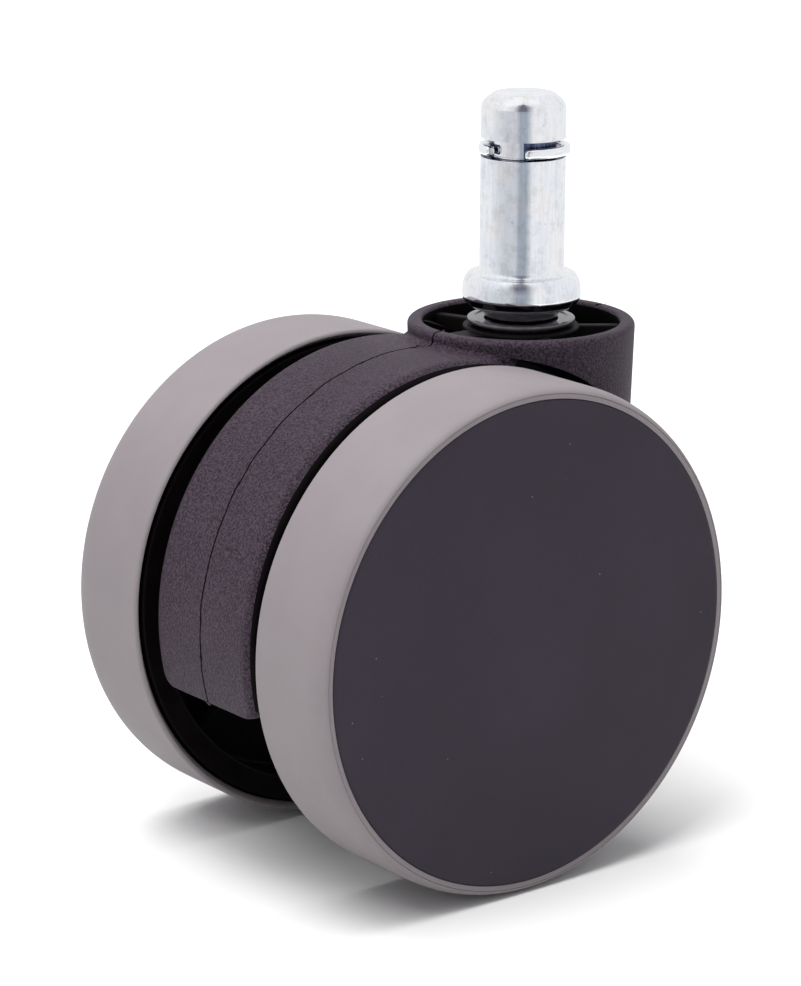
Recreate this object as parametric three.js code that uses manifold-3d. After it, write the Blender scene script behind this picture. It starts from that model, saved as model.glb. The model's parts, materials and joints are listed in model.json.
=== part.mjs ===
// Twin-wheel swivel caster for an office chair: a grip-ring stem, a hooded housing and two soft-tread wheels.
//
// Frame: millimetres, +Z up. The origin is on the swivel axis, level with the top of the stem's collar, where
// the chair's socket rests. The wheels trail towards -X and their axle lies along Y.

import * as THREE from 'three';
import { mergeVertices } from 'three/addons/utils/BufferGeometryUtils.js';
import Module from 'manifold-3d';

const wasm = await Module();
wasm.setup();

// ---------------------------------------------------------------------------------------------------------
// Driving dimensions
// ---------------------------------------------------------------------------------------------------------

const GAP = 0.3; // between pieces that touch or run on each other

const trail = 19.6; // swivel axis to axle, along -X
const axleDrop = 40.0; // collar top to axle, along -Z

const wheel = {
  radius: 32.5,
  innerFace: 12.8, // distances of the tyre's inner and outer sides from the middle plane
  outerFace: 26.4,
  treadBore: 31.4,
  innerSlope: 0.8, // along the axle, by which the inner side leans in to the core
  shoulderInner: 0.6,
  shoulderDrop: 1.2, // outer shoulder, across the tread's thickness
  shoulderWidth: 2.9, // outer shoulder, along the axle
  lipRadius: 31.1, // edge of the tyre round the cover
  keyDepth: 1.1, // ring on the tyre's bore that locks it to the core
  keyWidth: 2.0,
};

const core = {
  rimBore: 28.0,
  rimOuterFace: 24.2,
  webInner: 19.8,
  webOuter: 21.6,
  hubRadius: 8.0,
  hubInner: 9.6,
  hubOuter: 21.6,
  ribCount: 8,
  ribHeight: 1.8,
  ribThickness: 1.6,
};

const cover = {
  radius: 30.8,
  outerFace: 26.5, // all but flush with the tyre
  thickness: 1.7,
  bevel: 0.4,
  skirtRadius: 27.7,
  skirtThickness: 1.4,
  skirtInner: 22.3,
};

const axle = {
  radius: 3.0,
  halfLength: 24.4,
  chamfer: 0.5,
};

const bush = {
  wall: 1.0,
  inner: 9.7,
  outer: 21.5,
};

const washer = {
  radius: 6.5,
  thickness: 0.8,
};

const pushNut = {
  radius: 6.2,
  thickness: 0.6,
  slots: 6,
  slotWidth: 1.0,
  slotLength: 1.6,
};

const stem = {
  radius: 5.5,
  top: 23.3,
  tipFlat: 3.9,
  tipHeight: 2.2,
  grooveFloor: 4.2,
  grooveBottom: 15.2,
  grooveTop: 17.7,
  collarFillet: 0.7, // between the collar's flat top and the stem
  collarShoulder: 6.7,
  collarRadius: 7.7,
  collarWidest: -2.7,
  collarBottom: -4.6,
  collarFoot: 5.4,
  neckRadius: 4.5,
  bottom: -23.3,
  retainerFloor: 3.5,
  retainerTop: -20.1,
  retainerBottom: -21.7,
};

const gripRing = {
  innerRadius: 4.65,
  outerRadius: 5.9,
  bottom: 15.5,
  height: 1.3,
  gapStart: 178, // degrees about +Z, where the open stretch of the ring begins and ends
  gapEnd: 231,
  shift: [0.12, -0.09], // the loose ring lies a little to one side of its groove
};

const snapRing = {
  innerRadius: 3.8,
  outerRadius: 5.4,
  height: 1.0,
  gapHalfAngle: 30,
};

const stemBush = {
  flangeRadius: 7.0,
  flangeTop: -5.85,
  flangeThickness: 0.65,
  radius: 5.6,
  bottom: -19.6,
};

const socket = {
  radius: 7.6,
  bore: 5.9,
  top: -6.8,
  boreBottom: -24.0,
  bottom: -31.0,
  bottomChamfer: 1.5,
};

const ball = {
  radius: 2.5,
};

const cup = {
  rimZ: -6.05,
  rimRadius: 14.75,
  footRadius: 14.1,
  footZ: -26.5,
  wall: 2.0,
  floorTop: -19.0,
  floorBottom: -21.0,
  ribCount: 5,
  ribThickness: 1.5,
  spineThickness: 4.0, // the rib on the middle plane, towards the wheels
  ribTop: -7.0,
  archWall: 1.6, // between the cup's inside and the spaces that the wheels turn in
  archFlare: 0.8, // by which those spaces are larger at archOuter from the middle plane
  archOuter: 16.0,
};

const apron = {
  bottom: -38.0, // lower edge of the housing's front wall
  wall: 2.2,
  rearX: 3.0,
};

const hood = {
  centreX: -trail + 0.85, // the hood's arc is a little ahead of the wheel's
  centreZ: -axleDrop + 0.15,
  radius: 32.3,
  wall: 2.5,
  halfWidth: 10.3,
  edge: 1.8, // rounding of the outer edges
  rearAngle: 195.5, // degrees from +X, turning over the top of the wheels
  frontAngle: 50,
};

const keel = {
  halfThickness: 2.0,
  bossRadius: 8.0,
  bossHalfWidth: 8.2,
  stiffenerAngles: [120, 160],
  stiffenerThickness: 1.6,
  stiffenerHalfWidth: 8.4,
};

const wheelClearance = 0.7; // between the tyre and the housing that arches over it

// ---------------------------------------------------------------------------------------------------------
// Helpers
// ---------------------------------------------------------------------------------------------------------

const FINE = 48; // sides of a wheel-sized round
const MEDIUM = 36; // sides of a stem-sized round
const COARSE = 20; // sides of a small round

const radians = THREE.MathUtils.degToRad;

// A closed three.js geometry as a manifold solid.
function toSolid(geometry) {
  const bare = geometry.index ? geometry.toNonIndexed() : geometry.clone();
  bare.deleteAttribute('normal');
  bare.deleteAttribute('uv');
  const merged = mergeVertices(bare, 1e-4);
  const corners = merged.index.array;
  const triangles = [];
  for (let i = 0; i < corners.length; i += 3) {
    const [a, b, c] = [corners[i], corners[i + 1], corners[i + 2]];
    if (a !== b && b !== c && c !== a) triangles.push(a, b, c);
  }
  return new wasm.Manifold(new wasm.Mesh({
    numProp: 3,
    vertProperties: Float32Array.from(merged.attributes.position.array),
    triVerts: Uint32Array.from(triangles),
  }));
}

// A manifold solid as a three.js geometry.
function toGeometry(solid) {
  const mesh = solid.getMesh();
  const geometry = new THREE.BufferGeometry();
  geometry.setAttribute('position', new THREE.BufferAttribute(Float32Array.from(mesh.vertProperties), 3));
  geometry.setIndex(Array.from(mesh.triVerts));
  geometry.computeVertexNormals();
  return geometry;
}

// Points on an elliptical arc round (x, y), angles in degrees.
function arc(x, y, radiusX, radiusY, from, to, steps) {
  return Array.from({ length: steps + 1 }, (_, i) => {
    const angle = radians(from + ((to - from) * i) / steps);
    return [x + radiusX * Math.cos(angle), y + radiusY * Math.sin(angle)];
  });
}

// A turned solid about Y, from a closed outline of [radius, height] points in either direction.
function turned(outline, sides) {
  const points = outline.map(([r, h]) => new THREE.Vector2(r, h));
  if (THREE.ShapeUtils.area(points) < 0) points.reverse();
  points.push(points[0].clone());
  return toSolid(new THREE.LatheGeometry(points, sides));
}

// A turned solid about the swivel axis.
const turnedUpright = (outline, sides) => turned(outline, sides).rotate([90, 0, 0]);

// A tube or disc outline between two radii and two heights.
const ringOutline = (inner, outer, low, high) => [[inner, low], [outer, low], [outer, high], [inner, high]];

// An upright cylinder on the swivel axis.
const uprightCylinder = (radius, low, high, sides) =>
  turnedUpright(ringOutline(0, radius, low, high), sides);

// A cylinder along Y, centred on the axle.
const axleCylinder = (radius, low, high, sides) =>
  turned(ringOutline(0, radius, low, high), sides).translate([-trail, 0, -axleDrop]);

// A plate of an [x, z] outline, standing on the middle plane.
function plate(outline, halfThickness) {
  const shape = new THREE.Shape(outline.map(([x, z]) => new THREE.Vector2(x, z)));
  const geometry = new THREE.ExtrudeGeometry(shape, { depth: 2 * halfThickness, bevelEnabled: false });
  geometry.rotateX(Math.PI / 2).translate(0, halfThickness, 0);
  return toSolid(geometry);
}

// A box from its lowest to its highest corner.
function box(low, high) {
  const size = high.map((value, i) => value - low[i]);
  const geometry = new THREE.BoxGeometry(...size);
  return toSolid(geometry.translate(...low.map((value, i) => value + size[i] / 2)));
}

const joined = (solids) => solids.reduce((sum, solid) => sum.add(solid));

const finishes = {
  zincSteel: { color: 0xc9ccd0, roughness: 0.32, metalness: 1.0 },
  springSteel: { color: 0xd6d7d9, roughness: 0.25, metalness: 1.0 },
  blackNylon: { color: 0x3a343b, roughness: 0.6, metalness: 0.0 },
  coreNylon: { color: 0x141215, roughness: 0.55, metalness: 0.0 },
  coverPlastic: { color: 0x3f3942, roughness: 0.5, metalness: 0.0 },
  greyTread: { color: 0xa0969d, roughness: 0.65, metalness: 0.0 },
  bushNylon: { color: 0x5a545c, roughness: 0.45, metalness: 0.0 },
};

const caster = new THREE.Group();

function addPart(name, solid, finish) {
  const mesh = new THREE.Mesh(toGeometry(solid), new THREE.MeshStandardMaterial(finish));
  mesh.name = name;
  caster.add(mesh);
}

// ---------------------------------------------------------------------------------------------------------
// Stem and what is on it
// ---------------------------------------------------------------------------------------------------------

function makeStem() {
  const collarTopArc = arc(stem.collarShoulder, stem.collarWidest, stem.collarRadius - stem.collarShoulder,
    -stem.collarWidest, 90, 0, 4);
  const collarFootArc = arc(stem.collarFoot, stem.collarWidest, stem.collarRadius - stem.collarFoot,
    stem.collarWidest - stem.collarBottom, 0, -90, 4).slice(1);
  const fillet = stem.collarFillet;
  const collarTopFillet = arc(stem.radius + fillet, fillet, fillet, fillet, -90, -180, 3);
  const tipArc = arc(stem.tipFlat, stem.top - stem.tipHeight, stem.radius - stem.tipFlat, stem.tipHeight,
    0, 90, 4);
  return turnedUpright([
    [0, stem.bottom],
    [stem.neckRadius - 1, stem.bottom],
    [stem.neckRadius, stem.bottom + 1],
    [stem.neckRadius, stem.retainerBottom],
    [stem.retainerFloor, stem.retainerBottom],
    [stem.retainerFloor, stem.retainerTop],
    [stem.neckRadius, stem.retainerTop],
    [stem.neckRadius, stem.collarBottom],
    ...collarFootArc.reverse(),
    ...collarTopArc.reverse(),
    ...collarTopFillet,
    [stem.radius, stem.grooveBottom],
    [stem.grooveFloor, stem.grooveBottom],
    [stem.grooveFloor, stem.grooveTop],
    [stem.radius, stem.grooveTop],
    ...tipArc,
    [0, stem.top],
  ], MEDIUM);
}

// An open ring of rectangular section that runs from one angle to another about the swivel axis.
function openRing(inner, outer, bottom, height, from, to, steps) {
  const outline = [
    ...arc(0, 0, outer, outer, from, to, steps),
    ...arc(0, 0, inner, inner, to, from, steps),
  ];
  const shape = new THREE.Shape(outline.map(([x, y]) => new THREE.Vector2(x, y)));
  const geometry = new THREE.ExtrudeGeometry(shape, { depth: height, bevelEnabled: false });
  return toSolid(geometry.translate(0, 0, bottom));
}

const makeGripRing = () =>
  openRing(gripRing.innerRadius, gripRing.outerRadius, gripRing.bottom, gripRing.height,
    gripRing.gapEnd - 360, gripRing.gapStart, 36).translate([...gripRing.shift, 0]);

const makeSnapRing = () =>
  openRing(snapRing.innerRadius, snapRing.outerRadius,
    (stem.retainerTop + stem.retainerBottom - snapRing.height) / 2, snapRing.height,
    snapRing.gapHalfAngle, 360 - snapRing.gapHalfAngle, 24);

function makeStemBush() {
  const bore = stem.neckRadius + GAP;
  const flangeBottom = stemBush.flangeTop - stemBush.flangeThickness;
  return turnedUpright([
    [bore, stemBush.bottom],
    [stemBush.radius, stemBush.bottom],
    [stemBush.radius, flangeBottom],
    [stemBush.flangeRadius, flangeBottom],
    [stemBush.flangeRadius, stemBush.flangeTop],
    [bore, stemBush.flangeTop],
  ], MEDIUM);
}

// The ball that carries the stem's foot in the bottom of the socket.
const makeThrustBall = () =>
  toSolid(new THREE.SphereGeometry(ball.radius, 16, 10))
    .translate([0, 0, stem.bottom - GAP - ball.radius]);

// ---------------------------------------------------------------------------------------------------------
// Housing
// ---------------------------------------------------------------------------------------------------------

// The arc over the wheels, between them: a stretch of a ring whose outer edges are rounded.
function makeHoodArc() {
  const { centreX: x, centreZ: z, radius, wall, halfWidth, edge, rearAngle, frontAngle } = hood;
  const ring = turned([
    [radius - wall, -halfWidth],
    ...arc(radius - edge, edge - halfWidth, edge, edge, -90, 0, 3),
    ...arc(radius - edge, halfWidth - edge, edge, edge, 0, 90, 3),
    [radius - wall, halfWidth],
  ], 2 * FINE).translate([x, 0, z]);
  const beyond = radius + 3;
  const stretch = plate([[x, z], ...arc(x, z, beyond, beyond, frontAngle, rearAngle, 12)], halfWidth + 1);
  return ring.intersect(stretch);
}

// The round cup that hides the stem's bush, and the front wall that runs on down from it.
function makeCupBody() {
  const slope = (cup.rimRadius - cup.footRadius) / (cup.rimZ - cup.footZ);
  const apronRadius = cup.footRadius - slope * (cup.footZ - apron.bottom);
  const solid = turnedUpright([
    [0, apron.bottom],
    [apronRadius, apron.bottom],
    [cup.rimRadius, cup.rimZ],
    [0, cup.rimZ],
  ], FINE);
  const behindApron = box([-20, -20, apron.bottom - 1], [apron.rearX, 20, cup.floorBottom]);
  const insideApron = uprightCylinder(cup.footRadius - apron.wall, apron.bottom - 1, cup.floorBottom, FINE);
  return solid.subtract(behindApron).subtract(insideApron);
}

// The two spaces that the wheels turn in, on either side of the hood. They flare outwards, and are made
// larger by a wall's thickness.
function wheelSpaces(wall) {
  const radius = wheel.radius + wheelClearance + wall;
  const inner = hood.halfWidth - wall;
  const outer = 2 * wheel.outerFace;
  const space = turned([
    [0, inner],
    [radius, inner],
    [radius + cup.archFlare, cup.archOuter],
    [radius + cup.archFlare, outer],
    [0, outer],
  ], 2 * FINE);
  return joined([space, space.rotate([180, 0, 0])]).translate([-trail, 0, -axleDrop]);
}

// The inside of the cup, which keeps a wall to the wheels below it.
function makeCupHollow() {
  const round = uprightCylinder(cup.rimRadius - cup.wall, cup.floorTop, cup.rimZ + 1, FINE);
  return round.subtract(wheelSpaces(cup.archWall));
}

// Ribs from the socket to the cup's wall, one of them the broad spine on the middle plane.
function cupRibs() {
  return joined(Array.from({ length: cup.ribCount }, (_, i) => {
    const half = (i === 0 ? cup.spineThickness : cup.ribThickness) / 2;
    const low = [socket.radius - 0.6, -half, cup.floorTop - 0.5];
    const high = [cup.rimRadius - cup.wall + 0.6, half, cup.ribTop];
    return box(low, high).rotate([0, 0, 180 + (i * 360) / cup.ribCount]);
  }));
}

// The thin wall on the middle plane that ties the hood, the socket and the axle boss together.
function makeWeb() {
  const inner = hood.radius - hood.wall / 2;
  const hoodArc = arc(hood.centreX, hood.centreZ, inner, inner, 84, hood.rearAngle, 24);
  const bossTop = arc(-trail, -axleDrop, keel.bossRadius, keel.bossRadius, 262, 290, 4);
  const lowerFront = cup.footRadius - apron.wall / 2;
  return plate([
    ...hoodArc,
    ...bossTop,
    [lowerFront - 6, apron.bottom + 4],
    [lowerFront, apron.bottom + 3],
    [lowerFront, cup.floorTop - 1],
    [-12, cup.floorTop - 1],
  ], keel.halfThickness);
}

// Ribs that run out from the axle boss to the hood.
function hoodStiffeners() {
  const half = keel.stiffenerThickness / 2;
  const reach = hood.radius - hood.wall / 2;
  return joined(keel.stiffenerAngles.map((angle) =>
    box([keel.bossRadius - 1, -keel.stiffenerHalfWidth, -half], [reach, keel.stiffenerHalfWidth, half])
      .rotate([0, -angle, 0])
      .translate([-trail, 0, -axleDrop])));
}

function makeSocket() {
  return turnedUpright([
    [0, socket.bottom],
    [socket.radius - socket.bottomChamfer, socket.bottom],
    [socket.radius, socket.bottom + socket.bottomChamfer],
    [socket.radius, socket.top],
    [0, socket.top],
  ], MEDIUM);
}

function makeHousing() {
  const cupWithHood = makeHoodArc().add(makeCupBody());
  const shell = cupWithHood.subtract(makeCupHollow()).add(cupRibs()).subtract(wheelSpaces(0));
  const axleBoss = axleCylinder(keel.bossRadius, -keel.bossHalfWidth, keel.bossHalfWidth, MEDIUM);
  const insides = joined([makeWeb(), hoodStiffeners(), makeSocket(), axleBoss]);
  const ballPocket = stem.bottom - GAP - 2 * ball.radius - GAP;
  const bores = joined([
    uprightCylinder(socket.bore, socket.boreBottom, socket.top + 1, MEDIUM),
    uprightCylinder(ball.radius + GAP, ballPocket, socket.boreBottom + 1, COARSE),
    axleCylinder(axle.radius + GAP, -keel.bossHalfWidth - 1, keel.bossHalfWidth + 1, COARSE),
  ]);
  return shell.add(insides).subtract(bores);
}

// ---------------------------------------------------------------------------------------------------------
// Wheels and axle
// ---------------------------------------------------------------------------------------------------------

// Each wheel piece is turned about Y, with its distance from the middle plane as its height.

function makeTyre() {
  const { radius, innerFace, outerFace, shoulderInner, shoulderDrop, shoulderWidth } = wheel;
  const { treadBore, lipRadius } = wheel;
  const seat = core.rimOuterFace + GAP;
  const keyMiddle = (innerFace + core.rimOuterFace) / 2;
  const keyRadius = treadBore - wheel.keyDepth;
  return turned([
    [treadBore, innerFace + wheel.innerSlope],
    ...arc(radius - shoulderInner, innerFace + shoulderInner, shoulderInner, shoulderInner, -90, 0, 3),
    ...arc(radius - shoulderDrop, outerFace - shoulderWidth, shoulderDrop, shoulderWidth, 0, 90, 4),
    [lipRadius, outerFace],
    [lipRadius, seat],
    [treadBore, seat],
    [treadBore, keyMiddle + wheel.keyWidth / 2],
    [keyRadius, keyMiddle + wheel.keyWidth / 2],
    [keyRadius, keyMiddle - wheel.keyWidth / 2],
    [treadBore, keyMiddle - wheel.keyWidth / 2],
  ], FINE);
}

function makeWheelCore() {
  const rimRadius = wheel.treadBore - GAP;
  const rimInner = wheel.innerFace + GAP;
  const keyMiddle = (wheel.innerFace + core.rimOuterFace) / 2;
  const keyHalf = wheel.keyWidth / 2 + GAP;
  const keyFloor = rimRadius - wheel.keyDepth;
  const bore = axle.radius + GAP + bush.wall + GAP;
  const body = turned([
    [bore, core.hubInner],
    [core.hubRadius, core.hubInner],
    [core.hubRadius, core.webInner],
    [core.rimBore, core.webInner],
    [core.rimBore, rimInner],
    [rimRadius, rimInner],
    [rimRadius, keyMiddle - keyHalf],
    [keyFloor, keyMiddle - keyHalf],
    [keyFloor, keyMiddle + keyHalf],
    [rimRadius, keyMiddle + keyHalf],
    [rimRadius, core.rimOuterFace],
    [core.rimBore, core.rimOuterFace],
    [core.rimBore, core.webOuter],
    [bore, core.webOuter],
  ], FINE);
  const half = core.ribThickness / 2;
  const rib = box(
    [core.hubRadius - 0.5, core.webInner - core.ribHeight, -half],
    [core.rimBore + 0.5, core.webInner + 0.5, half],
  );
  const ribs = Array.from({ length: core.ribCount }, (_, i) => rib.rotate([0, (i * 360) / core.ribCount, 0]));
  return joined([body, ...ribs]);
}

function makeWheelCover() {
  const inside = cover.outerFace - cover.thickness;
  return turned([
    [0, inside],
    [cover.skirtRadius - cover.skirtThickness, inside],
    [cover.skirtRadius - cover.skirtThickness, cover.skirtInner],
    [cover.skirtRadius, cover.skirtInner],
    [cover.skirtRadius, inside],
    [cover.radius, inside],
    [cover.radius, cover.outerFace - cover.bevel],
    [cover.radius - cover.bevel, cover.outerFace],
    [0, cover.outerFace],
  ], FINE);
}

const makeHubBush = () =>
  turned(ringOutline(axle.radius + GAP, axle.radius + GAP + bush.wall, bush.inner, bush.outer), COARSE);

const makeWasher = (innerFace) =>
  turned(ringOutline(axle.radius + GAP, washer.radius, innerFace, innerFace + washer.thickness), COARSE);

// The slotted spring washer that is pushed on to the axle's end.
function makePushNut(innerFace) {
  const outerFace = innerFace + pushNut.thickness;
  const disc = turned(ringOutline(axle.radius + GAP, pushNut.radius, innerFace, outerFace), COARSE);
  const slot = box(
    [axle.radius, innerFace - 1, -pushNut.slotWidth / 2],
    [axle.radius + GAP + pushNut.slotLength, outerFace + 1, pushNut.slotWidth / 2],
  );
  const slots = Array.from({ length: pushNut.slots }, (_, i) =>
    slot.rotate([0, (i * 360) / pushNut.slots, 0]));
  return disc.subtract(joined(slots));
}

function makeAxle() {
  const { radius, halfLength, chamfer } = axle;
  return turned([
    [0, -halfLength],
    [radius - chamfer, -halfLength],
    [radius, -halfLength + chamfer],
    [radius, halfLength - chamfer],
    [radius - chamfer, halfLength],
    [0, halfLength],
  ], COARSE);
}

// ---------------------------------------------------------------------------------------------------------
// Assembly
// ---------------------------------------------------------------------------------------------------------

addPart('stem', makeStem(), finishes.zincSteel);
addPart('grip_ring', makeGripRing(), finishes.springSteel);
addPart('stem_snap_ring', makeSnapRing(), finishes.springSteel);
addPart('stem_bush', makeStemBush(), finishes.bushNylon);
addPart('thrust_ball', makeThrustBall(), finishes.springSteel);
addPart('housing', makeHousing(), finishes.blackNylon);
addPart('axle', makeAxle().translate([-trail, 0, -axleDrop]), finishes.zincSteel);

const innerWasherFace = keel.bossHalfWidth + GAP;
const outerWasherFace = core.hubOuter + GAP;
const pushNutFace = outerWasherFace + washer.thickness + GAP;

for (const [side, turn] of [['left', 0], ['right', 180]]) {
  const onAxle = (solid) => solid.rotate([turn, 0, 0]).translate([-trail, 0, -axleDrop]);
  addPart(`tyre_${side}`, onAxle(makeTyre()), finishes.greyTread);
  addPart(`wheel_core_${side}`, onAxle(makeWheelCore()), finishes.coreNylon);
  addPart(`wheel_cover_${side}`, onAxle(makeWheelCover()), finishes.coverPlastic);
  addPart(`hub_bush_${side}`, onAxle(makeHubBush()), finishes.bushNylon);
  addPart(`inner_washer_${side}`, onAxle(makeWasher(innerWasherFace)), finishes.zincSteel);
  addPart(`outer_washer_${side}`, onAxle(makeWasher(outerWasherFace)), finishes.zincSteel);
  addPart(`push_nut_${side}`, onAxle(makePushNut(pushNutFace)), finishes.springSteel);
}

export default caster;
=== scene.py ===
"""Looks of the twin-wheel swivel caster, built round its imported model.

Every shape is made in millimetres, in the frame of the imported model: the origin on the swivel axis, level
with the top of the stem's collar, +Z up, the wheels trailing towards -X and their axle along Y.
"""

import cmath
import json
import math
from types import SimpleNamespace

import bmesh
import bpy
from mathutils import Matrix, Vector, noise


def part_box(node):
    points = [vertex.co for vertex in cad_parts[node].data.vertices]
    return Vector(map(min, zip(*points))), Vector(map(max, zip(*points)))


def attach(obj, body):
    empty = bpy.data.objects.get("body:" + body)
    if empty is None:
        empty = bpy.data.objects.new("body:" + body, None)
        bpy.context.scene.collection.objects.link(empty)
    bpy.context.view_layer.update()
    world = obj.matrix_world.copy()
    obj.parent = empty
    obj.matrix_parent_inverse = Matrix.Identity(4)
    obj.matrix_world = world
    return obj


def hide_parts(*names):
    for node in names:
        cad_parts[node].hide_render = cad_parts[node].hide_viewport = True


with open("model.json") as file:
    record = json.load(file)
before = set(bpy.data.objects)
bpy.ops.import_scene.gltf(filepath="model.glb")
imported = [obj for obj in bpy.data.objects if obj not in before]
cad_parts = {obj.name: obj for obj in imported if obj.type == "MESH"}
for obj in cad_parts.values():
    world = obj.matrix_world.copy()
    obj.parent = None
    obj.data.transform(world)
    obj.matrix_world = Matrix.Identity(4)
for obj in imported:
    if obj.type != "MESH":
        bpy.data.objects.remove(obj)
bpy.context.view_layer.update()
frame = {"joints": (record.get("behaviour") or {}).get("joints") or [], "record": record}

MM = 0.001

# ----------------------------------------------------------------------------------------------------------
# Sizes in millimetres, from the frame where it has them
# ----------------------------------------------------------------------------------------------------------


def span(node, axis):
    """The lowest and highest place of a CAD node along X, Y or Z."""
    low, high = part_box(node)
    i = "XYZ".index(axis)
    return low[i] / MM, high[i] / MM


def reach(node):
    """The radius of a CAD node that is turned about the axle."""
    low, high = span(node, "Z")
    return (high - low) / 2


joints = {joint["name"]: joint for joint in frame["joints"]}
mounts = {mount["name"]: mount for mount in frame["record"]["mounts"]}

AXLE_X, _, AXLE_Z = (value / MM for value in joints["left_wheel_spin"]["pos_m"])

tyre = SimpleNamespace(
    radius=reach("tyre_left"),
    inner=span("tyre_left", "Y")[0],
    outer=span("tyre_left", "Y")[1],
    bore=31.4,
    inner_edge=0.5,  # rounding of the side that faces the housing
    inner_slope=0.8,  # along the axle, by which that side leans in to the core
    shoulder_drop=1.1,  # outer shoulder, across the tread's thickness
    shoulder_width=2.9,  # outer shoulder, along the axle
    lip_sunk=0.06,  # the flat lip round the cover lies a little below the shoulder's bead
    bead=0.08,
    lip_depth=1.3,
    key_depth=1.1,
    key_width=2.0,
)

core = SimpleNamespace(
    rim_radius=reach("wheel_core_left"),
    rim_inner=tyre.inner + 0.3,
    rim_bore=28.0,
    rim_outer=24.2,
    web_inner=19.8,
    web_outer=21.6,
    hub_radius=8.0,
    hub_inner=span("wheel_core_left", "Y")[0],
    bore=4.6,
    rib_count=8,
    rib_height=1.8,
    rib_thickness=1.6,
)

cover = SimpleNamespace(
    radius=reach("wheel_cover_left"),
    inner=span("wheel_cover_left", "Y")[0],
    outer=span("wheel_cover_left", "Y")[1],
    thickness=1.7,
    bevel=0.4,
    skirt_radius=27.7,
    skirt_thickness=1.4,
)

axle = SimpleNamespace(radius=reach("axle"), half_length=span("axle", "Y")[1], chamfer=0.5)
bush_bore = axle.radius + 0.3

stem = SimpleNamespace(
    radius=mounts["stem_socket"]["dims"]["r_mm"],
    top=span("stem", "Z")[1],
    bottom=span("stem", "Z")[0],
    tip_flat=3.9,
    tip_edge=1.7,  # from the top down to the faint edge below the tip's slope
    tip_height=2.2,
    groove_floor=4.2,
    groove_bottom=15.2,
    groove_top=17.7,
    collar_fillet=0.7,
    shoulder=6.7,
    collar_radius=span("stem", "X")[1],
    collar_widest=-2.7,
    collar_bottom=-4.6,
    collar_foot=5.4,
    neck=4.5,
    retainer_floor=3.5,
    retainer_top=-20.1,
    retainer_bottom=-21.7,
)

grip = SimpleNamespace(
    inner=4.65,
    outer=5.9,
    bottom=span("grip_ring", "Z")[0],
    top=span("grip_ring", "Z")[1],
    start=-129.0,  # degrees about +Z, from the curled end round to the plain one
    end=178.0,
    shift=(0.12, -0.09, 0.0),  # the loose ring lies a little to one side of its groove
)

snap = SimpleNamespace(
    inner=3.8,
    outer=5.4,
    bottom=span("stem_snap_ring", "Z")[0],
    top=span("stem_snap_ring", "Z")[1],
    gap=30.0,
)

flange = SimpleNamespace(
    radius=span("stem_bush", "X")[1],
    top=span("stem_bush", "Z")[1],
    bottom=span("stem_bush", "Z")[0],
    thickness=0.65,
    sleeve=5.6,
    bore=stem.neck + 0.3,
)

socket = SimpleNamespace(radius=7.6, bore=5.9, top=-6.8, bore_bottom=-24.0, bottom=-31.0)

cup = SimpleNamespace(
    rim_z=span("housing", "Z")[1],
    rim_radius=span("housing", "X")[1],
    foot_radius=14.1,
    foot_z=-26.5,
    wall=2.0,
    floor_top=-19.0,
    floor_bottom=-21.0,
    rib_count=5,
    rib_thickness=1.5,
    spine_thickness=4.0,
    rib_top=-7.0,
    arch_wall=1.6,  # between the cup's inside and the spaces that the wheels turn in
    arch_flare=0.8,  # by which those spaces are larger at arch_outer from the middle plane
    arch_outer=16.0,
)

apron = SimpleNamespace(bottom=-38.0, wall=2.2, rear_x=3.0)

hood = SimpleNamespace(
    x=span("housing", "X")[0] + 32.3,
    z=AXLE_Z + 0.15,
    radius=32.3,
    wall=2.5,
    half_width=10.3,
    rear=195.5,  # degrees from +X, turning over the top of the wheels
    front=50.0,
    edge=1.8,
    end_edge=0.4,
    end_corner=1.8,
    cup_fillet=0.8,
    inner_edge=0.3,
    beside_cup=(79.0, 87.0),  # degrees between which the skin needs close sections, where it meets the cup
)

keel = SimpleNamespace(
    half_thickness=2.0,
    boss_radius=8.0,
    boss_half_width=8.2,
    stiffener_angles=(120.0, 160.0),
    stiffener_thickness=1.6,
    stiffener_half_width=8.4,
)

wheel_space = SimpleNamespace(radius=33.2, inner=10.32)

FLOOR_Z = AXLE_Z - tyre.radius

# ----------------------------------------------------------------------------------------------------------
# Shapes
# ----------------------------------------------------------------------------------------------------------

LONG_STRAIGHT = 0.8
HOLDING = 0.05  # distance of an extra point from the end of a long straight


def unit(value):
    return value / abs(value)


def rounded(corners, steps=6):
    """A closed outline from (x, y, radius) corners, each corner with a radius turned into an arc."""
    outline = []
    for i, (x, y, radius) in enumerate(corners):
        corner = complex(x, y)
        if radius == 0:
            outline.append((x, y))
            continue
        before = unit(complex(*corners[i - 1][:2]) - corner)
        after = unit(complex(*corners[(i + 1) % len(corners)][:2]) - corner)
        half = abs(cmath.phase(after / before)) / 2
        centre = corner + unit(before + after) * radius / math.sin(half)
        start = corner + before * radius / math.tan(half) - centre
        end = corner + after * radius / math.tan(half) - centre
        turn = cmath.phase(end / start)
        for k in range(steps + 1):
            point = centre + start * cmath.exp(1j * turn * k / steps)
            outline.append((point.real, point.imag))
    return outline


def arc(x, y, radius_x, radius_y, start, end, steps):
    """Points on an elliptical arc, from one angle to another in degrees."""
    points = []
    for i in range(steps + 1):
        angle = math.radians(start + (end - start) * i / steps)
        points.append((x + radius_x * math.cos(angle), y + radius_y * math.sin(angle)))
    return points


def solid(name, vertices, faces):
    """A closed mesh object from points in millimetres, with its faces pointing out."""
    mesh = bpy.data.meshes.new(name)
    mesh.from_pydata([Vector(v) * MM for v in vertices], [], faces)
    obj = bpy.data.objects.new(name, mesh)
    bpy.context.scene.collection.objects.link(obj)
    work = bmesh.new()
    work.from_mesh(mesh)
    bmesh.ops.recalc_face_normals(work, faces=work.faces)
    work.to_mesh(mesh)
    work.free()
    return obj


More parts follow.
